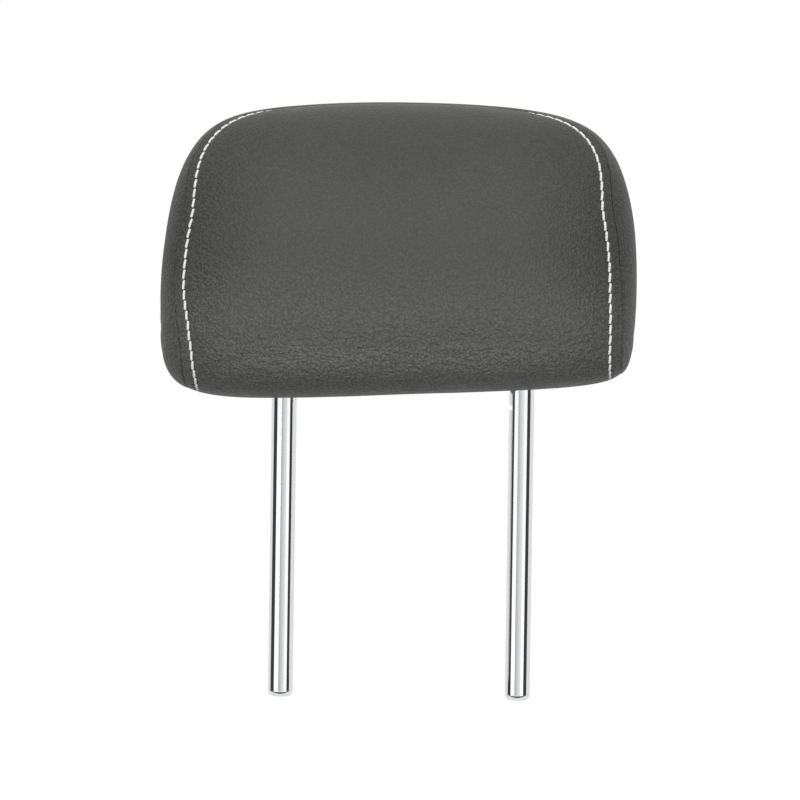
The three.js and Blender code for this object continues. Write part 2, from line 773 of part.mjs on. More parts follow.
// The thread: a row of short bulges, one for each stitch, with a waist at each needle hole.
function makeTopstitch() {
  const low = THREE.MathUtils.degToRad(wedgeStart + stitchPastWedge);
  const centre = (angle) => {
    const seam = foldMoved(angle, frontSeamFold(angle), -sewingGap / 2);
    const fold = foldMoved(angle, seam, -stitchInset);
    const depth = stitchChannelDepth * bandShare(angle) - softGap - threadDiameter / 2;
    return { fold, point: pointUnder(angle, fold, depth) };
  };
  const fine = anglesAround(-low, Math.PI + low, 400, (angle) => centre(angle).point);
  const run = [0];
  const places = fine.map(centre);
  for (let i = 1; i < fine.length; i += 1) {
    run.push(run[i - 1] + places[i].point.distanceTo(places[i - 1].point));
  }
  const total = run[run.length - 1];
  const stitches = Math.round(total / stitchPitch);
  const marks = [];
  for (let k = 0; k < stitches; k += 1) {
    marks.push([k, threadWaist], [k + 0.25, threadDiameter], [k + 0.75, threadDiameter]);
  }
  marks.push([stitches, threadWaist]);
  const rings = [];
  let at = 0;
  for (const [mark, diameter] of marks) {
    const wanted = (total * mark) / stitches;
    while (at < run.length - 2 && run[at + 1] < wanted) {
      at += 1;
    }
    const share = (wanted - run[at]) / (run[at + 1] - run[at]);
    const angle = THREE.MathUtils.lerp(fine[at], fine[at + 1], share);
    const { fold, point } = centre(angle);
    const rates = skinRates(angle, fold);
    const outward = pointUnder(angle, fold, -1).sub(pointUnder(angle, fold, 0)).normalize();
    const ahead = centre(angle + 1e-3).point.sub(centre(angle - 1e-3).point).normalize();
    const aside = new THREE.Vector3().crossVectors(ahead, outward).normalize();
    if (aside.dot(rates.alongFold) < 0) {
      aside.negate();
    }
    const ring = [];
    for (let i = 0; i < threadSides; i += 1) {
      const turn = (fullTurn * i) / threadSides;
      const corner = point.clone().addScaledVector(outward, (Math.cos(turn) * diameter) / 2);
      ring.push(corner.addScaledVector(aside, (Math.sin(turn) * diameter) / 2));
    }
    rings.push(ring);
  }
  const middle = (ring) => ring.reduce((sum, p) => sum.add(p), new THREE.Vector3()).divideScalar(ring.length);
  return ringedSolid(middle(rings[0]), rings, middle(rings[rings.length - 1]));
}

const group = new THREE.Group();
group.add(
  meshOf(makePostFrame(), "post_frame", chrome),
  meshOf(makeInsertFront(), "insert_front", blackPlastic),
  meshOf(makeInsertRear(), "insert_rear", blackPlastic),
  meshOf(makeFoamPad(), "foam_pad", foam),
  meshOf(makeFrontPanel(), "front_panel", leatherette),
  meshOf(bandPanel(), "side_band", leatherette),
  meshOf(makeBackPanel(), "back_panel", leatherette),
  meshOf(makeStrip(frontStripProfile()), "front_hook_strip", blackPlastic),
  meshOf(makeStrip(rearStripProfile()), "rear_hook_strip", blackPlastic),
  meshOf(makeTopstitch(), "topstitch_thread", whiteThread),
);

export default group;
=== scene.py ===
# %% [markdown]
# # A car headrest
# The real thing is a foam cushion in a sewn leatherette cover, held by one bent and chromed steel
# tube. This lesson loads the part's fixed frame, builds each visible piece as a surface worked
# out with numpy, and gives each one the finish of its real material. All shapes are worked out in
# millimetres and turned to metres only where a mesh is made.

# %% Load the frame
import json
import math
from functools import partial

import bpy
import numpy as np
from mathutils import Matrix, Vector


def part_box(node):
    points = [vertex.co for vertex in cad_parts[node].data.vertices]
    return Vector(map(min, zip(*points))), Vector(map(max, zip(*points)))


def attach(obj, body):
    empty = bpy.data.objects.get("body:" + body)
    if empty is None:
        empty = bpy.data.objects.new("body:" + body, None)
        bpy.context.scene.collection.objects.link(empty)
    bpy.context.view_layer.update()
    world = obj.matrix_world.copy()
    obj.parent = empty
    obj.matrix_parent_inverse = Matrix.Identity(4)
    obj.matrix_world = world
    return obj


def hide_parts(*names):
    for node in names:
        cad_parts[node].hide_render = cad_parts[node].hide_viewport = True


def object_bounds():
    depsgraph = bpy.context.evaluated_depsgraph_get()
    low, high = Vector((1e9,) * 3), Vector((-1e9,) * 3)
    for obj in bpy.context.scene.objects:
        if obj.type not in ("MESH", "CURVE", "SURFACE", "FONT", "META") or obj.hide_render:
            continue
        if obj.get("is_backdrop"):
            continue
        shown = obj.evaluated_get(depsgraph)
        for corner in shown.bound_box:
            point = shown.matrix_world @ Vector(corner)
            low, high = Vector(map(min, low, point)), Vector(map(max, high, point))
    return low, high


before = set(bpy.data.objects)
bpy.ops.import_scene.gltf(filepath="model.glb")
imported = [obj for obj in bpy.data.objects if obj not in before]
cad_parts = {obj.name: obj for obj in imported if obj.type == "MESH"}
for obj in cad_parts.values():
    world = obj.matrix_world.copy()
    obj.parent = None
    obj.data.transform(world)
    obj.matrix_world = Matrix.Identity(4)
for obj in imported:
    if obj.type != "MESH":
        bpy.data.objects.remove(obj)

cad_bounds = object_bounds()
scene = bpy.context.scene
MM = 0.001
print("frame:", len(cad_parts), "nodes")

# %% [markdown]
# ## Sizes
# A maker draws a headrest from a few sizes: the tube, the outline of the cushion seen from the
# front, its section from front to back, and the distances of its seams. Everything below is
# worked out from them, in the same way as in the part itself, so that the soft surface lies where
# the frame says. The width and the sideways place of the cushion are read from the frame.

# %% Driving sizes, in millimetres
band_low, band_high = (np.array(corner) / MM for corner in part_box("side_band"))
post_low, post_high = (np.array(corner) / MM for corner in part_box("post_frame"))

# The steel tube: its posts and bends, the swaged lower ends, and the lock notch.
post_diameter = post_high[1] - post_low[1]
post_radius = post_diameter / 2
post_spacing = 133.0
post_exposed = 171.0
crossbar_level = post_high[2] - post_radius
bend_radius = 32.0
end_taper_length = 3.0
end_flat_radius = 5.0
end_hole_radius = 2.0
notch_level = post_exposed - 7.5
notch_height = 2.4
notch_depth = 1.7
notch_slope = 1.6

# The cushion seen from in front. The rise and the drop are counted from its widest level, and a
# squareness is the power of the outline at its rim.
half_width = (band_high[0] - band_low[0]) / 2
cushion_offset = (band_high[0] + band_low[0]) / 2
cushion_rise = 105.0
cushion_drop = 58.0
widest_level = post_exposed + cushion_drop
crown_narrowing = 21.0
crown_arch = 7.6
hem_narrowing = 4.5
hem_slope = 13.4 / 265.0
crown_squareness = 7.8
hem_squareness_left = 6.0
hem_squareness_right = 10.0
corner_softening = 3.0

# The cushion from front to back, counted from the plane of the posts. The lip is the bulge low on
# its face, and a roundness is the power of the section.
depth_front = 62.0
depth_back = 50.0
crown_lean = 5.0
lip_swell = 1.8
lip_height = 30.0
lip_spread = 26.0
side_roundness = 3.65
crown_roundness = 2.5
hem_roundness = 4.6

# The cover. A seam is given by its distance behind the posts, and swings from the one at the sides
# to the one at the crown. The side band wedges out between two angles below level, in degrees. Low
# on each side the front seam and the stitch row change course between two more of them, and follow
# straight lines: a foot, in x at the underside, and a lean per millimetre of height.
cover_thickness = 2.4
front_seam_at_sides = -41.0
front_seam_at_crown = -3.0
back_seam_at_sides = 28.0
back_seam_at_crown = 23.0
seam_swing_start = 0.32
wedge_start = 17.0
wedge_end = 27.0
course_change = (-8.0, 9.0)
low_seam = {"left": (-119.0, -0.13), "right": (121.2, 0.02)}
low_row = {"left": (-112.8, -0.125), "right": (115.4, 0.0)}
stitch_inset = 7.5
stitch_pitch = 5.7
stitch_row_end = 25.5
thread_diameter = 1.45

print(f"cushion {2 * half_width:.1f} mm wide, posts {post_diameter:.1f} mm thick")

# %% [markdown]
# ## The shape of the cushion
# A padded cushion has no flat side and no sharp edge, so it is made as one smooth closed surface
# of two parameters. The angle goes round the outline as seen from the front. The fold goes from
# the middle of the face over the widest line to the middle of the back. Powers higher than 2 in
# the circle's formula make the outline and the section boxier, as foam is under a taut cover.


# %% Surface formulas
def smooth(value, low, high):
    """0 below low, 1 above high, and a smooth S between them."""
    share = np.clip((value - low) / (high - low), 0, 1)
    return share * share * (3 - 2 * share)


def outline(angle, share):
    """The front outline, where |x / a| ** p + |z / b| ** p is 1; p rises from 2 in the middle."""
    across, up = np.cos(angle), np.sin(angle)
    lower = np.where(across < 0, hem_squareness_left, hem_squareness_right)
    square = np.where(up >= 0, crown_squareness, lower)
    power = 2 + (square - 2) * share**corner_softening
    height = np.where(up >= 0, cushion_rise, cushion_drop)
    reach = (np.abs(across / half_width) ** power + np.abs(up / height) ** power) ** (-1 / power)
    return reach * across, reach * up


def section_power(angle):
    """How boxy the section is: the sides' roundness, blended to the crown's and to the hem's."""
    up = np.sin(angle)
    crown = side_roundness + (crown_roundness - side_roundness) * up**2
    hem = side_roundness + (hem_roundness - side_roundness) * smooth(-up, 0, 0.8)
    return np.where(up >= 0, crown, hem)


def skin(angle, fold):
    """A point of the cover: the outline times a power circle in the fold, narrowed and arched."""
    angle, fold = np.broadcast_arrays(angle, fold)
    power = section_power(angle)
    out, fore = np.sin(fold), np.cos(fold)
    scale = (np.abs(out) ** power + np.abs(fore) ** power) ** (-1 / power)
    edge_x, edge_z = outline(angle, out * scale)
    x, z = edge_x * out * scale, edge_z * out * scale
    y = -fore * scale * np.where(fore > 0, depth_front, depth_back)
    upper, lower = np.maximum(z, 0) / cushion_rise, np.maximum(-z, 0) / cushion_drop
    z = z - crown_arch * (x / half_width) ** 2 * upper**2
    x = x * (1 - (crown_narrowing * upper**2 + hem_narrowing * lower**2) / half_width)
    z = z + x * hem_slope * (1 - (z + cushion_drop) / (cushion_rise + cushion_drop))
    y = y + crown_lean * upper**2
    from_lip = (z + cushion_drop - lip_height) / lip_spread
    y = y - lip_swell * np.maximum(fore, 0) * scale * np.exp(-from_lip * from_lip)
    return np.stack([x + cushion_offset, y, z + widest_level], -1)


def rates(angle, fold):
    """How fast the skin runs along the angle and along the fold, kept off the two poles."""
    small = 1e-3
    safe = np.clip(fold, 0.03, math.pi - 0.03)
    along_angle = (skin(angle + small, safe) - skin(angle - small, safe)) / (2 * small)
    along_fold = (skin(angle, safe + small) - skin(angle, safe - small)) / (2 * small)
    return along_angle, along_fold


def unit(vectors):
    """Vectors scaled to length 1."""
    return vectors / np.linalg.norm(vectors, axis=-1, keepdims=True)


def under(angle, fold, depth):
    """A point at a depth square under the skin, and outside it where the depth is negative."""
    angle, fold, depth = np.broadcast_arrays(angle, fold, depth)
    along_angle, along_fold = rates(angle, fold)
    point = skin(angle, fold)
    inward = unit(np.cross(along_angle, along_fold))
    to_middle = np.array([cushion_offset, 0, widest_level]) - point
    inward = np.where(np.sum(inward * to_middle, -1, keepdims=True) < 0, -inward, inward)
    return point + inward * depth[..., None]


def fold_at_depth(angle, behind):
    """The fold at which the skin lies a distance behind the plane of the posts."""
    power = section_power(angle)
    share = behind / np.where(behind < 0, depth_front, depth_back)
    return np.arctan2((1 - np.abs(share) ** power) ** (1 / power), -share)


def moved(angle, fold, distance):
    """A fold moved along the skin by a distance, towards the back."""
    return fold + distance / np.linalg.norm(rates(angle, fold)[1], axis=-1)


def degrees_below(angle):
    """How far below level a point of the outline is, in degrees, on either side."""
    return np.degrees(np.arcsin(-np.sin(angle)))


def band_share(angle):
    """1 along the sides and the crown, 0 along the underside, where the side band has run out."""
    return 1 - smooth(degrees_below(angle), wedge_start, wedge_end)


def swung_depth(angle, at_sides, at_crown):
    """A seam's distance behind the posts, which swings from the sides' to the crown's."""
    return at_sides + (at_crown - at_sides) * smooth(np.sin(angle), seam_swing_start, 1)


def straight_down(lines):
    """Folds at which the skin meets a nearly upright line on each side, looked up from a table.

    The table has a row for each quarter of a degree round the lower corners, and each row holds the
    first fold at which the skin has passed the line, blended with the fold before it."""
    below = np.linspace(-20, 45, 261)
    fold = np.linspace(0.4, math.pi / 2, 500)
    tables = {}
    for side, sign in (("left", -1), ("right", 1)):
        angle = np.radians(180 + below if side == "left" else -below)
        point = skin(angle[:, None], fold[None, :])
        foot, lean = lines[side]
        past = sign * (point[..., 0] - foot - lean * (point[..., 2] - post_exposed))
        after = np.clip(np.argmax(past >= 0, axis=1), 1, len(fold) - 1)
        row = np.arange(len(below))
        low, high = past[row, after - 1], past[row, after]
        share = np.clip(-low / np.maximum(high - low, 1e-9), 0, 1)
        met = fold[after - 1] + (fold[1] - fold[0]) * share
        tables[side] = np.where(past.max(1) < 0, math.pi / 2, met)
    return lambda angle: np.where(
        np.cos(angle) < 0,
        np.interp(degrees_below(angle), below, tables["left"]),
        np.interp(degrees_below(angle), below, tables["right"]),
    )


seam_low_course = straight_down(low_seam)
row_low_course = straight_down(low_row)


def joined(angle, upper, lower):
    """The upper course of a line, passing into its straight lower course near the widest level."""
    return upper + (lower - upper) * smooth(degrees_below(angle), *course_change)


def upper_front_seam(angle):
    """The front seam's course over the crown and down the sides."""
    return fold_at_depth(angle, swung_depth(angle, front_seam_at_sides, front_seam_at_crown))


def front_seam(angle):
    """The seam between the front panel and the side band."""
    return joined(angle, upper_front_seam(angle), seam_low_course(angle))


def row_fold(angle):
    """The row of stitches, a set distance inside the front seam until both run straight down."""
    upper = moved(angle, upper_front_seam(angle), -stitch_inset)
    return joined(angle, upper, row_low_course(angle))


def row_inset(angle):
    """The distance along the skin from the front seam to the row of stitches."""
    seam = front_seam(angle)
    return (seam - row_fold(angle)) * np.linalg.norm(rates(angle, seam)[1], axis=-1)


def back_seam(angle):
    """The seam between the side band and the back panel."""
    behind = swung_depth(angle, back_seam_at_sides, back_seam_at_crown) * band_share(angle)
    return fold_at_depth(angle, behind)


face, back = skin(0.0, np.array([0.0, math.pi]))[:, 1]
print(f"cushion {back - face:.0f} mm deep in the middle")


# %% [markdown]
# ## Small unevenness
# Hide and foam are never perfectly even. Smooth noise from a seeded lattice of random numbers
# moves the surface by fractions of a millimetre: broad swells where the foam pushes, and short
# creases where the cover is pulled round the lower edge.


# %% Noise
def lattice_noise(u, v, seed):
    """Smooth noise from -1 to 1: random numbers on a unit lattice, with an S curve between them."""
    cells = 64
    table = np.random.default_rng(seed).uniform(-1, 1, (cells, cells))
    iu, iv = np.floor(u).astype(int), np.floor(v).astype(int)
    fu, fv = u - iu, v - iv
    su, sv = fu * fu * (3 - 2 * fu), fv * fv * (3 - 2 * fv)
    corner = lambda du, dv: table[(iu + du) % cells, (iv + dv) % cells]
    low = corner(0, 0) * (1 - su) + corner(1, 0) * su
    high = corner(0, 1) * (1 - su) + corner(1, 1) * su
    return low * (1 - sv) + high * sv


def unevenness(points):
    """Depth of swells 70 and 31 mm wide, and low on the cover of bent creases 34 and 15 mm long."""
    crease_level, crease_spread = 26, 20
    x, y, z = np.moveaxis(points, -1, 0)
    wide = lattice_noise(x / 70, z / 55 + y / 60, 3)
    narrow = lattice_noise(x / 31, z / 27 + y / 30, 4)
    low = np.exp(-(((z - post_exposed - crease_level) / crease_spread) ** 2))
    bend = 2.5 * lattice_noise(x / 38, z / 60, 5)
    crease = lattice_noise(x / 34, (z + bend) / 5.5 + y / 9, 6)
    fine = lattice_noise(x / 15, (z + bend) / 3.1 + y / 5, 7)
    return 0.5 * wide + 0.25 * narrow + low * (0.3 * crease + 0.15 * fine)


spiral = skin(np.linspace(0, 60, 2000), np.linspace(0.1, 3, 2000))
print(f"unevenness up to {np.abs(unevenness(spiral)).max():.2f} mm")


# %% [markdown]
# ## Making meshes
# Every piece is a grid of points: rings of equal count, closed round, with a point at each end.
# One helper joins the rings with four-sided faces and puts the points into a mesh, in metres.


# %% Mesh helpers
def angles_along(edge, start, end, count):
    """Angles spaced evenly by the length of a curve: its running length is looked up backwards."""
    samples = 24001
    fine = np.linspace(start, end, samples)
    steps = np.linalg.norm(np.diff(edge(fine), axis=0), axis=1)
    run = np.concatenate([[0], np.cumsum(steps)])
    return np.interp(np.linspace(0, run[-1], count), run, fine), run[-1]


def make_object(name, points, faces, material):
    """A mesh object from points in millimetres, smooth shaded, riding on the one body."""
    mesh = bpy.data.meshes.new(name)
    mesh.from_pydata((points * MM).tolist(), [], faces)
    mesh.polygons.foreach_set("use_smooth", np.ones(len(mesh.polygons), bool))
    mesh.materials.append(material)
    mesh.validate()
    piece = bpy.data.objects.new(name, mesh)
    scene.collection.objects.link(piece)
    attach(piece, "root")
    return piece


def ring_faces(ring_count, side_count, flip):
    """Faces between closed rings, with a fan to a point before the first and after the last."""
    ring, side = np.meshgrid(np.arange(ring_count - 1), np.arange(side_count), indexing="ij")
    a = 1 + ring * side_count + side
    b = 1 + ring * side_count + (side + 1) % side_count
    quads = np.stack([a, b, b + side_count, a + side_count], -1).reshape(-1, 4)
    around = np.arange(side_count)
    after = (around + 1) % side_count
    last = 1 + (ring_count - 1) * side_count
    start = np.stack([np.zeros(side_count, int), 1 + after, 1 + around], -1)
    end = np.stack([np.full(side_count, last + side_count), last + around, last + after], -1)
    faces = [*quads, *start, *end]
    return [list(map(int, face[::-1] if flip else face)) for face in faces]


def ringed_object(name, first, rings, last, material):
    """A closed piece from rings between two end points, turned so that its volume is positive."""
    points = np.concatenate([[first], np.reshape(rings, (-1, 3)), [last]])
    faces = ring_faces(len(rings), len(rings[0]), False)
    tri = np.array([face[:3] for face in faces])
    a, b, c = (points[tri[:, i]] - points.mean(0) for i in range(3))
    quad = np.array([face for face in faces if len(face) == 4])
    d, e, f = (points[quad[:, i]] - points.mean(0) for i in (0, 2, 3))
    volume = np.sum(a * np.cross(b, c)) + np.sum(d * np.cross(e, f))
    if volume < 0:
        faces = [face[::-1] for face in faces]
    return make_object(name, points, faces, material)


# %% [markdown]
# ## Finishes
# Each finish is a node material named for the real material and the way its surface was made.
# Colours are written as sRGB hex values and turned to linear light by one function. One helper
# adds a node with its settings and its links.


# %% Material helpers
def linear(hex_colour):
    """An sRGB hex colour as linear light: low values over 12.92, the rest a 2.4 power."""
    parts = [int(hex_colour[i : i + 2], 16) / 255 for i in (1, 3, 5)]
    return [c / 12.92 if c <= 0.04045 else ((c + 0.055) / 1.055) ** 2.4 for c in parts] + [1.0]


def add_node(tree, kind, settings=None, inputs=None):
    """A node with its settings. An input is a value, a socket to link, or a node's first output."""
    node = tree.nodes.new(kind)
    for key, value in (settings or {}).items():
        setattr(node, key, value)
    for key, value in (inputs or {}).items():
        value = value.outputs[0] if isinstance(value, bpy.types.Node) else value
        if isinstance(value, bpy.types.NodeSocket):
            tree.links.new(value, node.inputs[key])
        else:
            node.inputs[key].default_value = value
    return node


def new_material(name, **values):
    """A material with one Principled shader whose constant values sit on its own sockets."""
    material = bpy.data.materials.new(name)
    material.use_nodes = True
    tree = material.node_tree
    tree.nodes.clear()
    shader = add_node(tree, "ShaderNodeBsdfPrincipled", inputs=values)
    add_node(tree, "ShaderNodeOutputMaterial", inputs={"Surface": shader.outputs["BSDF"]})
    place = add_node(tree, "ShaderNodeTexCoord").outputs["Object"]
    return material, tree, shader, place


def per_mm(size):
    """The scale of a pattern with cells of a size in millimetres, on coordinates in metres."""
    return 1000 / size


# %% [markdown]
# ### Embossed leatherette
# The cover is PVC leatherette: a grain of soft pebbles with fine creases between them is rolled
# into the warm sheet. To the eye it is a dark warm grey with a broad dull sheen. Painted shade
# darkens its colour in the creases, and painted light makes it a little paler low on the face and
# paler still along the bulge near the underside.
# Two sizes of cell pattern make the pebbles, noise bends them so that no rows show, and wrinkles
# run sideways near the underside. The real pebbles are under a millimetre wide, and are drawn
# coarser so that they show.


# %% Leatherette
pebble_size = 1.5
small_pebble_size = 0.8
pebble_shift = 1.2
wrinkle_size = 2.6
wrinkle_depth = 2.2
relief_depth = 0.6


def above_hem(height):
    """The Z coordinate, in metres, of a height in millimetres above the underside."""
    return (post_exposed + height) * MM


def leatherette():
    """A bump of pebbles and wrinkles, stronger where the cover lies loose, and five mixed tones: a
    base, random patches, painted light on the lower face, a painted highlight on the bulge, and
    painted shade in the creases.
    """
    material, tree, shader, place = new_material(
        "embossed_pvc_leatherette",
        **{
            "Base Color": linear("#3c3c3b"),
            "Roughness": 0.5,
            "IOR": 1.5,
            "Specular IOR Level": 0.4,
        },
    )
    add = partial(add_node, tree)

    # How loose the cover lies: more towards the sides and towards the underside.
    spot = add("ShaderNodeSeparateXYZ", inputs={0: place}).outputs
    aside = add("ShaderNodeMath", {"operation": "ABSOLUTE"}, {0: spot["X"]})
    sideways = add(
        "ShaderNodeMapRange", inputs={"Value": aside, "From Min": 60 * MM, "From Max": 108 * MM}
    )
    downwards = add(
        "ShaderNodeMapRange",
        inputs={"Value": spot["Z"], "From Min": above_hem(95), "From Max": above_hem(22)},
    )
    loose = add("ShaderNodeMath", {"operation": "MAXIMUM"}, {0: sideways, 1: downwards})

    # The relief: pebbles of two sizes, pushed about by noise, and wrinkles drawn out along X.
    drift = add("ShaderNodeTexNoise", inputs={"Vector": place, "Scale": per_mm(4), "Detail": 2.0})
    bent = add(
        "ShaderNodeVectorMath",
        {"operation": "MULTIPLY_ADD"},
        {0: drift.outputs["Color"], 1: (pebble_shift * MM,) * 3, 2: place},
    )
    pebbles, small = (
        add(
            "ShaderNodeTexVoronoi",
            {"feature": "SMOOTH_F1"},
            {"Vector": bent, "Scale": per_mm(size), "Smoothness": 0.3},
        )
        for size in (pebble_size, small_pebble_size)
    )
    height = add("ShaderNodeMath", {"operation": "MULTIPLY_ADD"}, {0: small, 1: 0.35, 2: pebbles})
    drawn_out = add(
        "ShaderNodeVectorMath", {"operation": "MULTIPLY"}, {0: bent, 1: (0.4, 1.0, 1.0)}
    )
    wrinkles = add(
        "ShaderNodeTexNoise",
        inputs={"Vector": drawn_out, "Scale": per_mm(wrinkle_size), "Detail": 2.0},
    )
    folds = add("ShaderNodeMath", {"operation": "SUBTRACT"}, {0: wrinkles, 1: 0.5})
    low_folds = add("ShaderNodeMath", {"operation": "MULTIPLY"}, {0: folds, 1: downwards})
    relief = add(
        "ShaderNodeMath",
        {"operation": "MULTIPLY_ADD"},
        {0: low_folds, 1: -wrinkle_depth, 2: height},
    )
    strength = add("ShaderNodeMapRange", inputs={"Value": loose, "To Min": 0.45, "To Max": 1.0})
    bump = add(
        "ShaderNodeBump",
        {"invert": True},
        {"Height": relief, "Strength": strength, "Distance": relief_depth * MM},
    )
    tree.links.new(bump.outputs["Normal"], shader.inputs["Normal"])

    # The tone: patches, painted light on the lower face, a painted highlight on the bulge in its
    # middle, and painted shade in the creases.
    patches = add(
        "ShaderNodeTexNoise", inputs={"Vector": place, "Scale": per_mm(14), "Detail": 3.0}
    )
    # Painted light: the base colour is made paler low on the face, as a lamp would light it.
    painted_light_low_face = add(
        "ShaderNodeMapRange",
        {"interpolation_type": "SMOOTHSTEP"},
        {"Value": spot["Z"], "From Min": above_hem(84), "From Max": above_hem(34), "To Max": 0.85},
    )
    # Painted highlight: a pale band along the bulge low on the face, fading towards the sides.
    above_bulge = add("ShaderNodeMath", {"operation": "SUBTRACT"}, {0: spot["Z"], 1: above_hem(19)})
    off_bulge = add("ShaderNodeMath", {"operation": "ABSOLUTE"}, {0: above_bulge})
    bulge = add(
        "ShaderNodeMapRange",
        {"interpolation_type": "SMOOTHSTEP"},
        {"Value": off_bulge, "From Min": 14 * MM, "From Max": 2 * MM, "To Max": 0.36},
    )
    middle = add("ShaderNodeMath", {"operation": "SUBTRACT"}, {0: 1.0, 1: sideways})
    painted_bulge_highlight = add("ShaderNodeMath", {"operation": "MULTIPLY"}, {0: bulge, 1: middle})
    # Painted shade: the creases between the pebbles are darkened, more where the cover lies loose.
    crease = add("ShaderNodeMapRange", inputs={"Value": height, "From Min": 0.2, "From Max": 0.8})
    crease_shade_strength = add("ShaderNodeMapRange", inputs={"Value": loose, "To Min": 0.35, "To Max": 0.55})
    painted_crease_shade = add("ShaderNodeMath", {"operation": "MULTIPLY"}, {0: crease, 1: crease_shade_strength})
    tone = linear("#494946")
    for share, next_tone in [
        (patches, "#535350"),
        (painted_light_low_face, "#666663"),
        (painted_bulge_highlight, "#8a8a86"),
        (painted_crease_shade, "#222221"),
    ]:
        mixed = {"Factor": share, "A": tone, "B": linear(next_tone)}
        tone = add("ShaderNodeMix", {"data_type": "RGBA"}, mixed).outputs["Result"]
    tree.links.new(tone, shader.inputs["Base Color"])
    gloss = add("ShaderNodeMapRange", inputs={"Value": patches, "To Min": 0.44, "To Max": 0.56})
    tree.links.new(gloss.outputs["Result"], shader.inputs["Roughness"])
    return material


cover_material = leatherette()
print(cover_material.name, "has", len(cover_material.node_tree.nodes), "nodes")

# %% [markdown]
# ### Polished chrome plate
# The tube is steel, ground and polished, then plated with nickel and chromium. It is a mirror: it
# shows the bright surroundings and the dark gaps between the lamps as long straight lines. Only
# the faintest haze breaks the reflection.


# %% Chrome
def chrome_plate():
    """A metal with its default IOR, and a very low roughness that noise varies a little."""
    material, tree, shader, place = new_material(
        "polished_chrome_plate",
        **{"Base Color": linear("#fafafb"), "Metallic": 1.0, "Roughness": 0.05},
    )
    haze = add_node(
        tree, "ShaderNodeTexNoise", inputs={"Vector": place, "Scale": per_mm(9), "Detail": 4.0}
    )
    roughness = add_node(
        tree, "ShaderNodeMapRange", inputs={"Value": haze, "To Min": 0.02, "To Max": 0.06}
    )
    tree.links.new(roughness.outputs["Result"], shader.inputs["Roughness"])
    return material


chrome_material = chrome_plate()
print(chrome_material.name, "has", len(chrome_material.node_tree.nodes), "nodes")

# %% [markdown]
# ### Bonded polyester thread, moulded polypropylene and foam
# The topstitching is a thick three-ply polyester thread: white, with a soft sheen along its
# twist. The insert and the closing strips are moulded or extruded polypropylene, black with a
# fine spark-eroded grain. The pad is cream moulded polyurethane foam with small open cells.


# %% Thread, plastic and foam
def grained_material(name, colours, cell, roughness, depth, **values):
    """A two-tone material with one noise pattern of a cell size for its tone and its bump."""
    material, tree, shader, place = new_material(
        name, **{"Base Color": linear(colours[0]), "Roughness": roughness, **values}
    )
    grain = add_node(
        tree, "ShaderNodeTexNoise", inputs={"Vector": place, "Scale": per_mm(cell), "Detail": 3.0}
    )
    tone = add_node(
        tree,
        "ShaderNodeMix",
        {"data_type": "RGBA"},
        {"Factor": grain, "A": linear(colours[0]), "B": linear(colours[1])},
    )
    tree.links.new(tone.outputs["Result"], shader.inputs["Base Color"])
    bump = add_node(
        tree, "ShaderNodeBump", inputs={"Height": grain, "Strength": 0.5, "Distance": depth * MM}
    )
    tree.links.new(bump.outputs["Normal"], shader.inputs["Normal"])
    return material


thread_material = grained_material(
    "bonded_polyester_thread", ("#f4f5f6", "#ffffff"), 0.6, 0.6, 0.12, **{"Sheen Weight": 0.15}
)
plastic_material = grained_material(
    "moulded_polypropylene", ("#141415", "#1d1d1f"), 0.5, 0.55, 0.04
)
foam_material = grained_material(
    "moulded_polyurethane_foam", ("#d8cda4", "#ece3bf"), 1.4, 0.95, 0.5
)

for node_name, material in [
    ("insert_front", plastic_material),
    ("insert_rear", plastic_material),
    ("front_hook_strip", plastic_material),
    ("rear_hook_strip", plastic_material),
    ("foam_pad", foam_material),
]:
    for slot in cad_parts[node_name].material_slots:
        slot.material = material
    print(node_name, "takes", material.name)

# %% [markdown]
# ## Seams and stitch line
# A cover seam is two folded edges pulled down between the panels. Each panel rolls over in a
# quarter circle about 1.3 mm in radius and meets its neighbour at the bottom of the groove, and
# its edge runs on a little way under it. A few millimetres inside the front seam the topstitching
# presses a shallow channel, deepest where the needle went through, and over the crown it pulls
# the row out of sight.

# %% Depths across a seam
seam_roll = 1.3
band_roll = 1.5
hem_roll = 1.2
seam_gap = 0.35
hem_gap = 0.1
seam_drop = 2.2
seam_floor = 2.72
groove_limit = 2.62
turned_under = 0.5
seam_ridge = 0.42
channel_depth = 0.85
channel_half = 2.6
needle_dip = 0.35
pucker_depth = 0.16
pucker_reach = 4.2
crown_sink = 0.9
crown_sink_heights = (0.7, 0.84)
row_fade = 4.0


def stitch_line(angle):
    """Points of the skin along the row of stitches."""
    return skin(angle, row_fold(angle))


row_low = math.radians(stitch_row_end)
row_angles, row_length = angles_along(stitch_line, -row_low, math.pi + row_low, 6001)
stitch_count = round(row_length / stitch_pitch)
print(f"{stitch_count} stitches on {row_length:.0f} mm")


def stitch_phase(angle):
    """How many stitches lie before this angle on the row, which starts low on the right side."""
    turned = np.mod(angle + row_low, 2 * math.pi) - row_low
    return np.interp(turned, row_angles, np.linspace(0, stitch_count, len(row_angles)))


def on_row(angle):
    """1 where the row of stitches runs, fading out just past its ends."""
    turned = np.mod(angle + math.pi / 2, 2 * math.pi) - math.pi / 2
    past = np.maximum(-row_low - turned, turned - math.pi - row_low)
    return 1 - smooth(np.degrees(past), 0, row_fade)


def sunk_over_crown(angle):
    """How much deeper the row is pulled in over the crown, where its thread is lost to view."""
    return crown_sink * smooth(np.sin(angle), *crown_sink_heights)


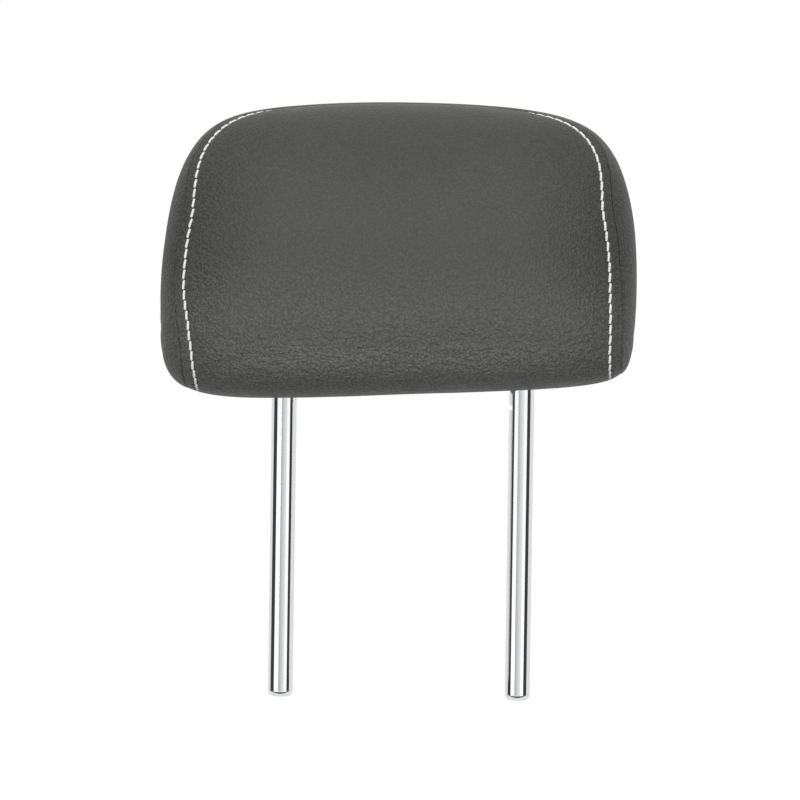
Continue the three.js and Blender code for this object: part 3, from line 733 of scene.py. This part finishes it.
def channel(angle, distance):
    """Depth of the stitch channel: a trough with dips and puckers, less a ridge along the seam."""
    inset = row_inset(angle)
    trough = np.exp(-(((distance - inset) / (0.5 * channel_half)) ** 2))
    wave = 0.5 + 0.5 * np.cos(2 * math.pi * stitch_phase(angle))
    wide = np.exp(-(((distance - inset) / pucker_reach) ** 2))
    pulled = channel_depth + sunk_over_crown(angle) + needle_dip * wave
    ridge = seam_ridge * np.exp(-(((distance - 1.5 * seam_roll) / seam_roll) ** 2))
    sunk = trough * pulled + pucker_depth * wide * wave
    return on_row(angle) * sunk - band_share(angle) * ridge


# %% [markdown]
# ## The cover under tension
# The cover is sewn a little smaller than the foam, which swells it between its seams. This is
# found by a cloth simulation on a coarse closed skin: it is held along the seams and round the
# posts, blown up by an even pressure without gravity, and left to settle. What it moved square to
# the skin is held to a millimetre or so, read back at any angle and fold, and added to the fine
# panels.

# %% Cloth simulation
cloth_around = 128
cloth_across = 56
cloth_pressure = 4.0
cloth_frames = 20
cloth_start_depth = 1.0
swell_limit = 1.3
pulled_in = 0.35
pin_reach = 3.5


def held(angle, fold):
    """True where the cover is fixed: near a seam or the closure, and at the posts."""
    rate = np.linalg.norm(rates(angle, fold)[1], axis=-1)
    near_front = np.abs(fold - front_seam(angle)) * rate < pin_reach
    near_back = np.abs(fold - back_seam(angle)) * rate < pin_reach
    point = skin(angle, fold)
    at_post = np.hypot(np.abs(point[..., 0]) - post_spacing / 2, point[..., 1]) < post_diameter
    return near_front | near_back | (at_post & (point[..., 2] < widest_level))


def settled_points(points, pinned):
    """Where the points of the coarse skin lie once its cloth has settled under pressure."""
    mesh = bpy.data.meshes.new("coarse_skin")
    faces = ring_faces(cloth_across - 2, cloth_around, True)
    mesh.from_pydata((points * MM).tolist(), [], faces)
    coarse = bpy.data.objects.new("coarse_skin", mesh)
    scene.collection.objects.link(coarse)
    coarse.vertex_groups.new(name="sewn").add(pinned, 1.0, "REPLACE")
    cloth = coarse.modifiers.new("cover", "CLOTH")
    cloth.settings.use_pressure = True
    cloth.settings.uniform_pressure_force = cloth_pressure
    cloth.settings.vertex_group_mass = "sewn"
    cloth.settings.effector_weights.gravity = 0
    for frame_number in range(1, cloth_frames + 1):
        scene.frame_set(frame_number)
    evaluated = coarse.evaluated_get(bpy.context.evaluated_depsgraph_get())
    settled = np.empty(len(points) * 3)
    evaluated.data.vertices.foreach_get("co", settled)
    bpy.data.objects.remove(coarse)
    scene.frame_set(1)
    return settled.reshape(-1, 3) / MM


def settle_cover():
    """The outward movement at each point of the coarse skin, as a grid in fold and angle.

    A tanh keeps the tenth that moved most near the limit, and the whole is lowered a little."""
    grid = np.zeros((cloth_across, cloth_around + 1))
    angle = np.linspace(-math.pi / 2, 1.5 * math.pi, cloth_around + 1)[:-1]
    fold = np.linspace(0, math.pi, cloth_across)
    ring_angle, ring_fold = np.meshgrid(angle, fold[1:-1])
    start = under(ring_angle, ring_fold, cloth_start_depth)
    outward = unit(skin(ring_angle, ring_fold) - start)
    ends = under(np.zeros(2), np.array([0, math.pi]), np.full(2, cloth_start_depth))
    points = np.concatenate([ends[:1], start.reshape(-1, 3), ends[1:]])
    pinned = np.nonzero(held(ring_angle, ring_fold).ravel())[0] + 1
    settled = settled_points(points, pinned.tolist())[1:-1].reshape(start.shape)
    out = np.sum((settled - start) * outward, -1)
    print(f"cloth moved {out.min():.2f} to {out.max():.2f} mm")
    grid[1:-1, :-1] = out
    grid[:, -1] = grid[:, 0]
    grid[0], grid[-1] = grid[1].mean(), grid[-2].mean()
    usual = max(np.percentile(np.abs(grid), 90), 0.01)
    return swell_limit * (np.tanh(grid / usual) - pulled_in)


cover_movement = settle_cover()


def swell(angle, fold):
    """The settled movement at any angle and fold, blended between the four nearest grid points."""
    u = np.mod(angle + math.pi / 2, 2 * math.pi) / (2 * math.pi) * cloth_around
    v = np.clip(fold, 0, math.pi) / math.pi * (cloth_across - 1)
    iu = np.minimum(u.astype(int), cloth_around - 1)
    iv = np.minimum(v.astype(int), cloth_across - 2)
    fu, fv = u - iu, v - iv
    near = cover_movement[iv, iu] * (1 - fu) + cover_movement[iv, iu + 1] * fu
    far = cover_movement[iv + 1, iu] * (1 - fu) + cover_movement[iv + 1, iu + 1] * fu
    return near * (1 - fv) + far * fv


def cover_depth(angle, fold):
    """How deep the cover lies under the formula's skin: its unevenness, less its swell."""
    angle, fold = np.broadcast_arrays(angle, fold)
    return unevenness(skin(angle, fold)) - swell(angle, fold)


# %% [markdown]
# ## The front panel
# The face and the crown are one panel of leatherette over a thin foam backing. Its edge is the
# inverted U of the front seam, and below it ends in a hem at the closure, with a half-round notch
# at each post. It is made as rings from the middle of the face to the edge, closest together in
# the fine zone beside the seam, then rolled over the edge, turned under it, and brought back
# inside.

# %% Panels
post_hole_radius = post_radius + 0.7
closure_gap = 0.35
gather_depth = 1.5
gather_reach = 4.0
gather_height = 20.0
fine_zone = 15.0
seam_zone = 2.2
edge_tuck = 1.1
outline_count = 940
far_count = 58
near_count = 28
roll_count = 9


def post_notch(x):
    """How far a half-round notch for a post reaches from the closure line at this x."""
    aside = np.minimum(np.abs(x - post_spacing / 2), np.abs(x + post_spacing / 2))
    return np.sqrt(np.maximum(post_hole_radius**2 - aside**2, 0))


def panel_edge(seam, side):
    """A panel's edge: its seam, and underneath the closure with a notch round each post."""

    def fold(angle):
        x = skin(angle, np.full_like(angle, math.pi / 2))[..., 0]
        hem = side * np.maximum(post_notch(x), closure_gap / 2)
        free = smooth(band_share(angle), 0, 0.02)
        return np.where(free > 0, seam(angle), fold_at_depth(angle, hem))

    return fold


front_edge = panel_edge(front_seam, -1)
back_edge = panel_edge(back_seam, 1)


def post_dimple(points):
    """Depth of the gather round the posts on the underside, fading over a few millimetres."""
    x, y, z = np.moveaxis(points, -1, 0)
    aside = np.minimum(np.abs(x - post_spacing / 2), np.abs(x + post_spacing / 2))
    away = np.maximum(np.hypot(aside, y) - post_hole_radius, 0)
    low = z < widest_level - gather_height
    return np.where(low, gather_depth * np.exp(-away / gather_reach), 0)


def even_start(angle, edge, toward_edge):
    """Where the fine rings start: a set distance inside the edge, evened out at its corners.

    On a grid of half degrees the start is the least within 8 degrees, then the mean within 8."""
    grid = np.radians(np.arange(-90, 630, 0.5))
    window = np.arange(-16, 17)
    start = toward_edge * moved(grid, edge(grid), -toward_edge * fine_zone)
    lowest = np.min([np.roll(start, k) for k in window], axis=0)
    evened = np.mean([np.roll(lowest, k) for k in window], axis=0)
    turned = np.mod(angle + math.pi / 2, 2 * math.pi) - math.pi / 2
    return toward_edge * np.interp(turned, grid, evened)


def cap_piece(name, pole, edge, stitched):
    """A panel over the face or the back, as rings from its pole to its edge, under it, and back."""
    toward_edge = 1 if pole == 0 else -1
    angle = angles_along(
        lambda a: skin(a, edge(a)), -math.pi / 2, 1.5 * math.pi, outline_count
    )[0][:-1]
    edge_fold = edge(angle)
    banded = band_share(angle)
    roll = hem_roll + (seam_roll - hem_roll) * banded
    drop = hem_roll + (seam_drop - hem_roll) * banded
    gap = hem_gap + (seam_gap - hem_gap) * banded
    start = even_start(angle, edge, toward_edge)
    reach = np.abs(edge_fold - start) * np.linalg.norm(rates(angle, edge_fold)[1], axis=-1)

    def inside_edge(distance):
        return moved(angle, edge_fold, -toward_edge * distance)

    def lies(fold):
        return cover_depth(angle, fold) + post_dimple(skin(angle, fold))

    rings = []
    for share in np.linspace(0, 1, far_count + 1)[1:-1]:
        fold = pole + (start - pole) * share
        rings.append(under(angle, fold, lies(fold)))
    for share in np.linspace(1, 0, near_count + 1)[:-1]:
        distance = seam_zone + (reach - seam_zone) * share
        fold = inside_edge(distance)
        sunk = channel(angle, distance) if stitched else 0
        rings.append(under(angle, fold, lies(fold) + sunk))
    last_channel = channel(angle, seam_roll) if stitched else 0
    for turn in np.linspace(0, math.pi / 2, roll_count):
        fold = inside_edge(roll * (1 - math.sin(turn)) + gap)
        sunk = lies(fold) + last_channel * math.cos(turn)
        depth = np.minimum(sunk + drop * (1 - math.cos(turn)), groove_limit)
        rings.append(under(angle, fold, depth))
    for inward in (0.0, edge_tuck):
        rings.append(under(angle, inside_edge(gap + inward), seam_floor))
    for share in np.linspace(0, 1, 9)[1:-1]:
        rings.append(under(angle, start + (pole - start) * share, cover_thickness))
    middle = np.zeros(1), np.full(1, float(pole))
    first = under(*middle, cover_depth(*middle))[0]
    last = under(*middle, np.full(1, cover_thickness))[0]
    piece = ringed_object(name, first, np.array(rings), last, cover_material)
    print(name, len(piece.data.polygons), "faces")
    return piece


front_piece = cap_piece("front_cover_panel", 0.0, front_edge, True)
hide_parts("front_panel")

# %% [markdown]
# ## The back panel
# The back is never looked at for long, and is sewn from the same hide without a decorative row.
# The same rings make it, from the middle of the back to the rear seam and the closure.

# %% Back panel
back_piece = cap_piece("back_cover_panel", math.pi, back_edge, False)
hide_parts("back_panel")

# %% [markdown]
# ## The side band
# One strip runs from the lower left corner over the crown to the lower right corner, and gives
# the cushion its depth. At each end it narrows to a point, where the two panels meet under the
# cushion. Its sections are closed loops: across the outside, round one seam edge, back under, and
# round the other.


# %% Side band
band_count = 620
band_tip = 0.6
band_bulge = 0.9
full_bulge_width = 60.0


def band_piece():
    """Loops across the strip: a rolled edge, its bulging outside, the other edge, its inside."""
    low = math.radians(wedge_end - band_tip)
    angle = angles_along(lambda a: skin(a, front_seam(a)), -low, math.pi + low, band_count)[0]
    front, back = front_seam(angle), back_seam(angle)
    width = np.linalg.norm(rates(angle, (front + back) / 2)[1], axis=-1) * (back - front)
    roll = np.minimum(band_roll, width / 3)
    drop = hem_roll + (seam_drop - hem_roll) * band_share(angle)
    gap = np.minimum(hem_gap + (seam_gap - hem_gap) * band_share(angle), width / 12)
    loops = []

    def add(distance, depth, plain=False):
        fold = front + (back - front) * distance / width
        uneven = 0 if plain else cover_depth(angle, fold)
        deepest = seam_floor if plain else groove_limit
        loops.append(under(angle, fold, np.minimum(uneven + depth, deepest)))

    turns = np.linspace(0, math.pi / 2, roll_count)
    for turn in turns[::-1]:
        add(gap + roll * (1 - math.sin(turn)), drop * (1 - math.cos(turn)))
    for share in np.linspace(0, 1, 26)[1:-1]:
        across = roll + (width - 2 * roll) * share
        bulge = band_bulge * math.sin(math.pi * share) * np.minimum(width / full_bulge_width, 1)
        add(across, -bulge)
    for turn in turns:
        add(width - gap - roll * (1 - math.sin(turn)), drop * (1 - math.cos(turn)))
    add(width + turned_under, seam_floor, True)
    for share in (0.85, 0.5, 0.15):
        add(width * share, cover_thickness, True)
    add(-turned_under, seam_floor, True)
    rings = np.stack(loops, 1)
    first, last = rings[0].mean(0), rings[-1].mean(0)
    piece = ringed_object("side_cover_band", first, rings, last, cover_material)
    return piece


band = band_piece()
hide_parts("side_band")
print("side_cover_band", len(band.data.polygons), "faces")

# %% [markdown]
# ## The topstitching
# A lockstitch shows one short length of thread for each stitch. It comes up through its needle
# hole, lies in the channel a little aslant, and goes down through the next hole. Three twisted
# plies give the thread a rope-like surface, so each stitch is a bent tube with three lobes that
# turn along it.


# %% Stitches
stitch_gap = 0.07
stitch_end_depth = 0.62
stitch_rise = 0.95
stitch_slant = 0.42
stitch_scatter = 0.06
ply_turns = 1.4 * 2.2 / 3
ply_lobe = 0.13
thread_flatness = 0.88
thread_end_width = 0.55
ring_count, side_count = 11, 12


def make_stitches():
    """Bent tubes: the depth is a high power of the length, and a lobed section turns along it."""
    share = np.linspace(stitch_gap, 1 - stitch_gap, ring_count)
    number = np.arange(stitch_count)[:, None] + share[None, :]
    angle = np.interp(number, np.linspace(0, stitch_count, len(row_angles)), row_angles)
    along = (share - 0.5) * 2
    arch = 1 - np.abs(along) ** 6
    depth = channel_depth + stitch_end_depth - stitch_rise * arch[None, :] + sunk_over_crown(angle)
    jitter = np.random.default_rng(11).normal(0, 1, (stitch_count, 2))
    slant = stitch_slant + stitch_scatter * jitter[:, :1]
    aslant = slant * along[None, :] + stitch_scatter * jitter[:, 1:]
    fold = moved(angle, row_fold(angle), aslant)
    centre = under(angle, fold, cover_depth(angle, fold) + depth)
    ahead = unit(np.gradient(centre, axis=1))
    outward = unit(under(angle, fold, -1.0) - skin(angle, fold))
    aside = unit(np.cross(ahead, outward))
    outward = np.cross(aside, ahead)
    turn = np.linspace(0, 2 * math.pi, side_count, endpoint=False)
    twist = 2 * math.pi * share * ply_turns
    lobes = 1 + ply_lobe * np.cos(3 * (turn[None, :] - twist[:, None]))
    narrowing = (1 - thread_end_width) * (1 - np.abs(along) ** 8)
    size = thread_diameter / 2 * lobes * (thread_end_width + narrowing)[:, None]
    u = (size * np.cos(turn))[None, :, :, None] * thread_flatness
    v = (size * np.sin(turn))[None, :, :, None]
    tubes = centre[:, :, None] + outward[:, :, None] * u + aside[:, :, None] * v
    points, faces = [], []
    for k in range(stitch_count):
        base = k * (ring_count * side_count + 2)
        points.append(np.concatenate([[centre[k, 0]], tubes[k].reshape(-1, 3), [centre[k, -1]]]))
        for face in ring_faces(ring_count, side_count, False):
            faces.append([base + i for i in face])
    points = np.concatenate(points)
    piece = make_object("topstitching", points, faces, thread_material)
    middle, first = centre[0].mean(0), points[faces[0][:3]]
    if np.dot(np.cross(first[1] - first[0], first[2] - first[0]), first.mean(0) - middle) < 0:
        piece.data.flip_normals()
    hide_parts("topstitch_thread")
    return piece


stitches = make_stitches()
print("topstitching", len(stitches.data.polygons), "faces")

# %% [markdown]
# ## The post frame
# One round steel tube is bent twice, so that both ends hang down as posts. Each end is swaged:
# pressed inwards to a narrower, rounded mouth, which helps it into its guide sleeve. One post has
# a lock notch, a flat cut with a slanted upper flank, that the sleeve's catch drops into. The
# tube is a circle carried along the bent path, and the notch holds back the points that would
# stand in it.


# %% Post frame
# The swaged mouth: the radius and the level of each ring, from inside its hole to the full tube.
mouth = [
    (end_hole_radius, 9.0),
    (end_hole_radius, 1.0),
    (end_hole_radius + 0.25, 0.3),
    (end_hole_radius + 0.8, 0.05),
    (end_flat_radius - 1.0, 0.0),
    (end_flat_radius - 0.3, 0.1),
    (end_flat_radius + 0.45, 0.55),
    (end_flat_radius + 1.15, 1.25),
    (post_radius - 0.3, 2.1),
    (post_radius - 0.06, 2.7),
]


def tube_path():
    """Stations along the tube as x, z and lean: up one post, round, across, round, and down."""
    reach = post_spacing / 2
    bend_level = crossbar_level - bend_radius
    fine = np.arange(notch_level - 3.5, notch_level + 4.5, 0.2)
    above_taper = end_taper_length + 0.3
    evenly = np.linspace(above_taper, bend_level, 40)
    straight = np.unique(np.concatenate([[end_taper_length], evenly, fine]))
    inner = reach - bend_radius
    left = [(-reach, z, 0.0) for z in straight]
    for t in np.linspace(0, math.pi / 2, 25)[1:]:
        x, z = -inner - bend_radius * math.cos(t), bend_level + bend_radius * math.sin(t)
        left.append((x, z, t))
    right = [(-x, z, math.pi - t) for x, z, t in left[::-1]]
    return np.array(left + right)


def cut_notch(rings):
    """Holds back the points that would stand in the notch, flat below and slanted above."""
    x, y, z = np.moveaxis(rings, -1, 0)
    half = notch_height / 2
    flank = np.clip(1 - (z - notch_level - half) / notch_slope, 0, 1)
    flank = np.where(z < notch_level - half - 0.1, 0, flank)
    cut = post_spacing / 2 - post_radius + notch_depth * flank
    on_post = (x > 0) & (np.abs(z - notch_level) < 6) & (flank > 0)
    rings[..., 0] = np.where(on_post, np.maximum(x, cut), x)


def make_post_frame():
    """A circle carried along the path; at both ends its radius follows the mouth inside."""
    turn = np.linspace(0, 2 * math.pi, 96, endpoint=False)[:, None]

    def circle(x, z, lean, radius):
        outward = np.array([-math.cos(lean), 0, math.sin(lean)])
        round_y = radius * np.sin(turn) * np.array([0, 1, 0])
        return np.array([x, 0, z]) + radius * np.cos(turn) * outward + round_y

    reach = post_spacing / 2
    rings = [circle(-reach, z, 0.0, r) for r, z in mouth]
    rings += [circle(x, z, lean, post_radius) for x, z, lean in tube_path()]
    rings += [circle(reach, z, math.pi, r) for r, z in mouth[::-1]]
    rings = np.array(rings)
    cut_notch(rings)
    first, last = (np.array([x, 0, mouth[0][1]]) for x in (-reach, reach))
    piece = ringed_object("chromed_post_frame", first, rings, last, chrome_material)
    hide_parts("post_frame")
    return piece


post_piece = make_post_frame()
print("chromed_post_frame", len(post_piece.data.polygons), "faces")

# %% [markdown]
# ## Floor, light and camera
# A white studio: a pale floor, and a white surround that lights the cushion evenly from all sides.
# One large soft lamp in front brings out the grain.


# %% Floor and surround
def stage_plane(name, size, location, turn, material):
    """A flat stage piece, made of one face, that isn't part of the object."""
    mesh = bpy.data.meshes.new(name)
    w, h = size[0] / 2, size[1] / 2
    mesh.from_pydata([(-w, -h, 0), (w, -h, 0), (w, h, 0), (-w, h, 0)], [], [(0, 1, 2, 3)])
    mesh.materials.append(material)
    plane = bpy.data.objects.new(name, mesh)
    plane.location = location
    plane.rotation_euler = turn
    scene.collection.objects.link(plane)
    plane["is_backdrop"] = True
    return plane


def seen_directly(tree):
    """1 for camera, glossy and transmission rays, and 0 for the rays that light the object."""
    rays = add_node(tree, "ShaderNodeLightPath").outputs
    either = {"operation": "MAXIMUM"}
    seen = add_node(
        tree, "ShaderNodeMath", either, {0: rays["Is Camera Ray"], 1: rays["Is Glossy Ray"]}
    )
    return add_node(tree, "ShaderNodeMath", either, {0: seen, 1: rays["Is Transmission Ray"]})


def empty_material(name):
    """A node material without nodes, for a stage piece."""
    material = bpy.data.materials.new(name)
    material.use_nodes = True
    material.node_tree.nodes.clear()
    return material, material.node_tree


floor_own_light = 0.85


def floor_material():
    """Matt white, with light of its own to the eye, so that only a shadow takes it below white."""
    material, tree = empty_material("matt_white_floor")
    own_light = add_node(
        tree,
        "ShaderNodeMath",
        {"operation": "MULTIPLY"},
        {0: seen_directly(tree), 1: floor_own_light},
    )
    matt = add_node(tree, "ShaderNodeBsdfDiffuse", inputs={"Color": linear("#9a9a9a")})
    glow = add_node(tree, "ShaderNodeEmission", inputs={"Strength": own_light})
    both = add_node(tree, "ShaderNodeAddShader", inputs={0: matt, 1: glow})
    add_node(tree, "ShaderNodeOutputMaterial", inputs={"Surface": both})
    return material


floor_drop = 0.13
floor_size = (14, 14)
stage_plane("studio_floor", floor_size, (0, 0, -floor_drop), (0, 0, 0), floor_material())

world = bpy.data.worlds.new("white_studio")
scene.world = world
world.use_nodes = True
sky = world.node_tree
sky.nodes.clear()
surround_strength = 0.66
strength = add_node(
    sky,
    "ShaderNodeMapRange",
    inputs={"Value": seen_directly(sky), "To Min": surround_strength, "To Max": 1.0},
)
surround = add_node(
    sky, "ShaderNodeBackground", inputs={"Color": (1, 1, 1, 1), "Strength": strength}
)
add_node(sky, "ShaderNodeOutputWorld", inputs={"Surface": surround})
print("surround at", surround_strength, "and floor", floor_drop, "m below the posts")

# %% Soft lamp
lamp_power = 16
lamp_size = 1.2
lamp_place = Vector((-0.08, -1.8, 0.4))
cushion_middle = Vector((0, 0, widest_level * MM))

light = bpy.data.lights.new("front_softbox", "AREA")
light.energy = lamp_power
light.size = lamp_size
lamp = bpy.data.objects.new("front_softbox", light)
lamp.location = lamp_place
lamp.rotation_euler = (cushion_middle - lamp_place).to_track_quat("-Z", "Y").to_euler()
scene.collection.objects.link(lamp)
print(f"{lamp.name}: {lamp_power} W, {lamp_size} m wide")

# %% [markdown]
# ### Cards for the chrome
# Polished metal shows what stands round it, so dark flags, a faded grey card, and pale cloths
# behind and below give it the long bands that make it look round. Only reflections see them.


# %% Cards
def flag_material(name, left_colour, right_colour, half_width_m):
    """A plain glow that fades from the left edge of a card, of a half width, to its right edge."""
    material, tree = empty_material(name)
    place = add_node(tree, "ShaderNodeTexCoord").outputs["Object"]
    across = add_node(tree, "ShaderNodeSeparateXYZ", inputs={0: place}).outputs["X"]
    span = {"Value": across, "From Min": -half_width_m, "From Max": half_width_m}
    share = add_node(tree, "ShaderNodeMapRange", inputs=span)
    colour = add_node(
        tree,
        "ShaderNodeMix",
        {"data_type": "RGBA"},
        {"Factor": share, "A": linear(left_colour), "B": linear(right_colour)},
    )
    glow = add_node(
        tree, "ShaderNodeEmission", inputs={"Color": colour.outputs["Result"], "Strength": 1.0}
    )
    add_node(tree, "ShaderNodeOutputMaterial", inputs={"Surface": glow})
    return material


def reflection_only(plane):
    """Hides a stage piece from everything but glossy rays."""
    plane.visible_camera = False
    plane.visible_diffuse = False
    plane.visible_shadow = False
    plane.visible_transmission = False


black_flag = flag_material("black_velvet_flag", "#3c3c3e", "#3c3c3e", 1.0)
grey_card = flag_material("faded_grey_card", "#aaacae", "#eceded", 0.33)
pale_cloth = flag_material("pale_cloth", "#e0e1e2", "#e0e1e2", 1.0)
card_distance = 0.7
card_foot = -0.12
card_top = 0.5
card_height = card_top - card_foot
card_middle = card_foot + card_height / 2

# Upright cards: the bearing of each, in degrees from the front, and half the angle that it fills.
for name, bearing, half_angle, cloth in [
    ("left_flag", -81.0, 19.0, black_flag),
    ("right_flag", 75.0, 16.5, black_flag),
    ("camera_card", 4.5, 27.5, grey_card),
    ("left_rear_cloth", -124.0, 26.0, pale_cloth),
    ("right_rear_cloth", 120.0, 31.0, pale_cloth),
    ("rear_cloth", 180.0, 33.0, pale_cloth),
]:
    turn = math.radians(bearing)
    place = (card_distance * math.sin(turn), -card_distance * math.cos(turn), card_middle)
    width = 2 * card_distance * math.tan(math.radians(half_angle))
    reflection_only(stage_plane(name, (width, card_height), place, (math.pi / 2, 0, turn), cloth))

# Cards that lie on the floor: their size, how far behind the posts they lie, and their level.
for name, size, behind, level, cloth in [
    ("floor_flag", (1.3, 0.14), -0.13, card_foot, black_flag),
    ("floor_cloth", (1.6, 1.6), 0.0, card_foot - 0.002, pale_cloth),
]:
    reflection_only(stage_plane(name, size, (0, behind, level), (0, 0, 0), cloth))

# %% [markdown]
# The camera stands far away, so that the perspective is weak, a little to the right of the middle
# and almost level with the cushion, and it is tilted sideways by under one degree.

# %% Camera
# The posts are 25 px wide in an 800 px picture, which sets the width of the camera's field.
picture_width = 800
post_diameter_px = 25.0
field = picture_width * post_diameter / post_diameter_px * MM
camera_distance = 2.4
camera_azimuth = math.radians(2.0)
camera_elevation = math.radians(1.5)
camera_roll = math.radians(0.83)
aim = Vector((-1.6 * MM, 0, 167.3 * MM))

camera_data = bpy.data.cameras.new("camera")
camera_data.sensor_width = 36.0
camera_data.lens = camera_data.sensor_width * camera_distance / field
camera = bpy.data.objects.new("camera", camera_data)
scene.collection.objects.link(camera)
level_away = math.cos(camera_elevation)
away = Vector(
    (
        math.sin(camera_azimuth) * level_away,
        -math.cos(camera_azimuth) * level_away,
        math.sin(camera_elevation),
    )
)
looking = (-away).to_track_quat("-Z", "Y").to_matrix()
rolled = looking @ Matrix.Rotation(camera_roll, 3, "Z")
camera.matrix_world = Matrix.Translation(aim + away * camera_distance) @ rolled.to_4x4()
scene.camera = camera
scene.view_settings.view_transform = "Standard"
print(f"lens {camera_data.lens:.1f} mm at {camera_distance} m")

# %% Sizes of the frame and of the shown pieces
size = {
    "cad": [list(corner) for corner in cad_bounds],
    "visual": [list(corner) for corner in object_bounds()],
}
print(json.dumps(size))
